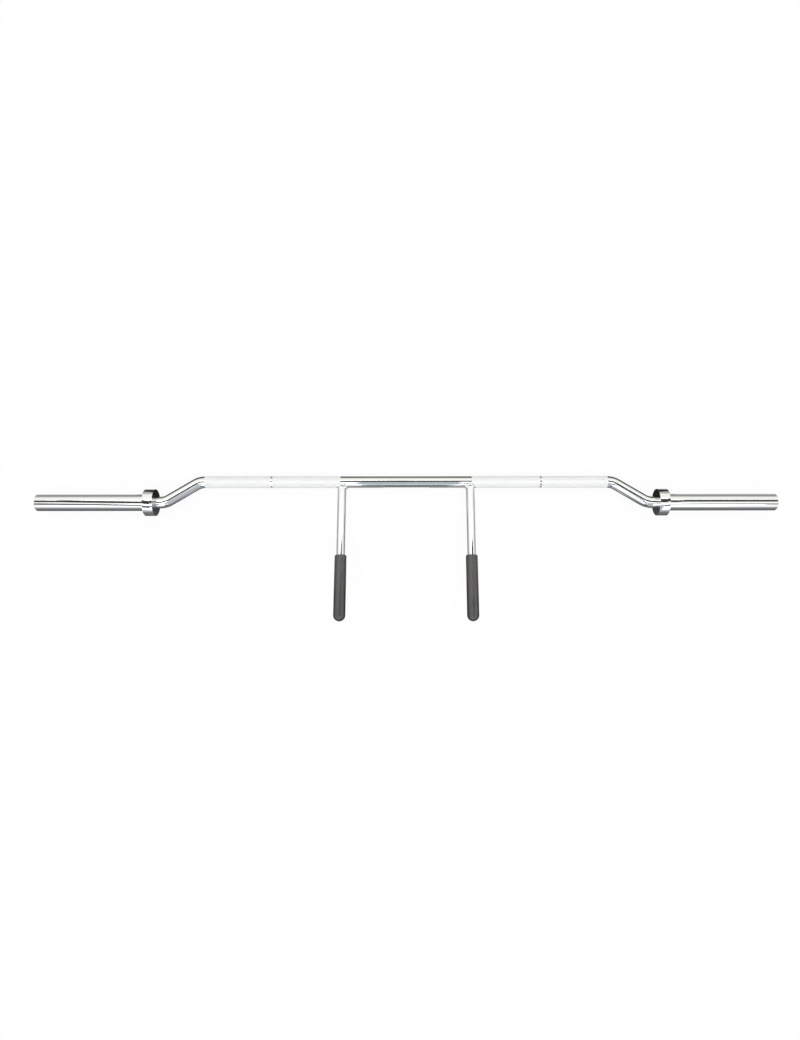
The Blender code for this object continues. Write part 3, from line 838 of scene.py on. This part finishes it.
def lay_back_mats():
    """Mats under the back half, from the line under the sleeves: below the bar, beside it and further off."""
    # Each zone's ends, where its first two mats end, and its shades: rim, beside, dark and grey
    for zone, left, right, rim_end, near_end, *shades in (
        ("sleeve_left", -MAT_HALF, -COLLAR_MAT_END, 0.060, 0.092, 0.90, 0.90, 0.20, 0.58),
        ("collar_left", -COLLAR_MAT_END, -COLLAR_MAT_START, 0.055, 0.090, 0.75, 0.75, 0.02, 0.07),
        ("crank_left", -COLLAR_MAT_START, -CRANK_EDGE, 0.062, 0.095, 0.02, 0.02, 0.10, 0.26),
        ("handle_left", -CRANK_EDGE, -HANDLE_EDGE, 0.064, 0.098, 0.38, 0.90, 0.14, 0.26),
        ("inner_left", -HANDLE_EDGE, -MIDDLE_EDGE, 0.064, 0.101, 0.40, 0.95, 0.16, 0.28),
        ("middle", -MIDDLE_EDGE, MIDDLE_EDGE, 0.064, 0.101, 0.82, 0.95, 0.16, 0.28),
        ("inner_right", MIDDLE_EDGE, HANDLE_EDGE, 0.064, 0.101, 0.40, 0.95, 0.16, 0.28),
        ("handle_right", HANDLE_EDGE, CRANK_EDGE, 0.064, 0.098, 0.40, 0.90, 0.14, 0.26),
        ("crank_right", CRANK_EDGE, COLLAR_MAT_START, 0.062, 0.095, 0.02, 0.02, 0.10, 0.26),
        ("collar_right", COLLAR_MAT_START, COLLAR_MAT_END, 0.055, 0.090, 0.75, 0.75, 0.02, 0.07),
        ("sleeve_right", COLLAR_MAT_END, MAT_HALF, 0.060, 0.092, 0.90, 0.90, 0.20, 0.58),
    ):
        rim, beside, dark, grey = tinted(WARM_TINT, *shades)
        floor_card(f"back_mat_rim_{zone}", 0, rim_end, rim, rim, left, right)
        floor_card(f"back_mat_near_{zone}", rim_end, near_end, beside, dark, left, right)
        floor_card(f"back_mat_middle_{zone}", near_end, MAT_REACH, dark, grey, left, right)
    floor_card("back_mat_far", MAT_REACH, CARD_DISTANCE, (0.36, 0.36, 0.34), (0.50, 0.50, 0.46))


def lay_front_mats():
    """Mats under the front half: pale where the handles mirror them, and nearly black beside the grips."""
    # Each zone's ends and its shades: nearest the line under the sleeves, further off, and beside the grips
    for zone, left, right, *shades in (
        ("left", -MAT_HALF, -FRONT_EDGE, 0.03, 0.17, 0.17),
        ("left_handle", -FRONT_EDGE, -HANDLE_EDGE, 0.38, 0.46, 0.02),
        ("left_inner", -HANDLE_EDGE, -MIDDLE_EDGE, 0.38, 0.34, 0.02),
        ("middle", -MIDDLE_EDGE, MIDDLE_EDGE, 0.22, 0.20, 0.02),
        ("right_inner", MIDDLE_EDGE, HANDLE_EDGE, 0.36, 0.34, 0.02),
        ("right_handle", HANDLE_EDGE, FRONT_EDGE, 0.44, 0.52, 0.02),
        ("right", FRONT_EDGE, MAT_HALF, 0.03, 0.17, 0.17),
    ):
        near, far, dark = tinted(COOL_TINT, *shades)
        floor_card(f"front_mat_near_{zone}", 0, -FRONT_NEAR_END, near, far, left, right)
        floor_card(f"front_mat_middle_{zone}", -FRONT_NEAR_END, -FRONT_MIDDLE_END, far, far, left, right)
        floor_card(f"front_mat_grip_{zone}", -FRONT_MIDDLE_END, -FRONT_GRIP_END, dark, dark, left, right)
    floor_card("front_mat_far", -FRONT_GRIP_END, -CARD_DISTANCE, (0.20, 0.21, 0.22), (0.18, 0.19, 0.21))


def make_studio():
    make_world()
    make_floor()
    make_sun("warm_lamp", LAMP_LEAN, (1.0, 0.985, 0.95))
    make_sun("cool_lamp", -LAMP_LEAN, (0.95, 0.98, 1.0))
    hang_overhead_cards()
    stand_walls()
    lay_back_mats()
    lay_front_mats()


def make_camera():
    """The photograph's camera, from the shaft's middle outwards."""
    right = Vector((1, 0, 0))
    up = Vector((0, math.sin(CAMERA_ELEVATION), math.cos(CAMERA_ELEVATION)))
    back = Vector((0, -math.cos(CAMERA_ELEVATION), math.sin(CAMERA_ELEVATION)))
    turn = Matrix.Rotation(CAMERA_ROLL, 3, back)
    right, up = turn @ right, turn @ up
    place = BAR.translation + back * CAMERA_DISTANCE - up * CAMERA_ABOVE
    data = bpy.data.cameras.new("camera")
    data.sensor_width = SENSOR
    data.lens = FOCAL_PIXELS / IMAGE_HEIGHT * SENSOR
    data.shift_x = -ASIDE_PIXELS / IMAGE_HEIGHT
    camera = bpy.data.objects.new("camera", data)
    bpy.context.scene.collection.objects.link(camera)
    camera.matrix_world = Matrix.Translation(place) @ Matrix((right, up, back)).transposed().to_4x4()
    bpy.context.scene.camera = camera


def dress_hidden(name, material):
    """A new finish on a piece inside a sleeve, which keeps its CAD mesh."""
    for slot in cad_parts[name].material_slots:
        slot.material = material


def build_handle(side, sign, tube, grip, finishes):
    """One handle, its weld and its grip, standing square on the shaft."""
    foot = Matrix.Translation((sign * HANDLE_SPACING / 2, 0, 0))
    stand = BAR @ foot @ Matrix.Rotation(math.pi / 2, 4, "X")
    chrome, weld, rubber = finishes
    new_piece(f"{side}_handle_tube", tube, stand, "bar", "chrome", f"{side}_handle", materials=(chrome,))
    new_piece(f"{side}_handle_weld", weld_mesh(side, -sign), stand, "bar", "chrome", materials=(weld,))
    new_piece(f"{side}_grip_cover", grip, stand, "bar", "grip_rubber", f"{side}_grip", materials=(rubber,))


def build_sleeve(side, sign, meshes, finishes):
    """One end's collar, sleeve, cap and cap ring, which turn together."""
    body = f"{side}_rotating_sleeve"
    start = Matrix.Translation((sign * COLLAR_SPAN / 2, -CAMBER, 0))
    spin = BAR @ start @ Matrix.Rotation(sign * math.pi / 2, 4, "Y")
    collar, sleeve, cap, ring = meshes
    chrome, plastic, steel = finishes
    new_piece(f"{side}_collar_ring", collar, spin, body, "chrome", f"{side}_collar", materials=(chrome,))
    new_piece(f"{side}_sleeve_tube", sleeve, spin, body, "chrome", f"{side}_sleeve", materials=(chrome,))
    new_piece(f"{side}_cap", cap, spin, body, "black_plastic", f"{side}_end_cap", materials=(plastic,))
    new_piece(f"{side}_snap_ring", ring, spin, body, "spring_steel", f"{side}_cap_ring", materials=(steel,))


def build():
    make_camera()
    make_studio()
    chrome = chrome_material()
    knurl = knurl_material()
    weld = weld_material()
    rubber = rubber_material()
    plastic = plastic_material()
    bronze = turned_metal_material("oiled_bronze", (0.50, 0.30, 0.12), (0.66, 0.43, 0.20), 0.28, 0.45)
    steel = turned_metal_material("spring_steel_black", (0.16, 0.16, 0.17), (0.26, 0.26, 0.27), 0.30, 0.45)
    washer = turned_metal_material("bright_steel", (0.52, 0.52, 0.53), (0.66, 0.66, 0.66), 0.22, 0.38)

    new_piece("bar_shaft", shaft_mesh(), BAR, "bar", "satin_chrome", "shaft", materials=(chrome, knurl))
    tube, grip = handle_mesh(), grip_mesh()
    turned = collar_mesh(), sleeve_mesh(), cap_mesh(), cap_ring_mesh()
    for side, sign in (("left", -1), ("right", 1)):
        build_handle(side, sign, tube, grip, (chrome, weld, rubber))
        build_sleeve(side, sign, turned, (chrome, plastic, steel))
        for node, finish in (
            ("inner_bush", bronze),
            ("outer_bush", bronze),
            ("inner_thrust_washer", washer),
            ("outer_thrust_washer", washer),
            ("retaining_ring", steel),
        ):
            dress_hidden(f"{side}_{node}", finish)


build()
bpy.context.scene.view_settings.view_transform = "Standard"
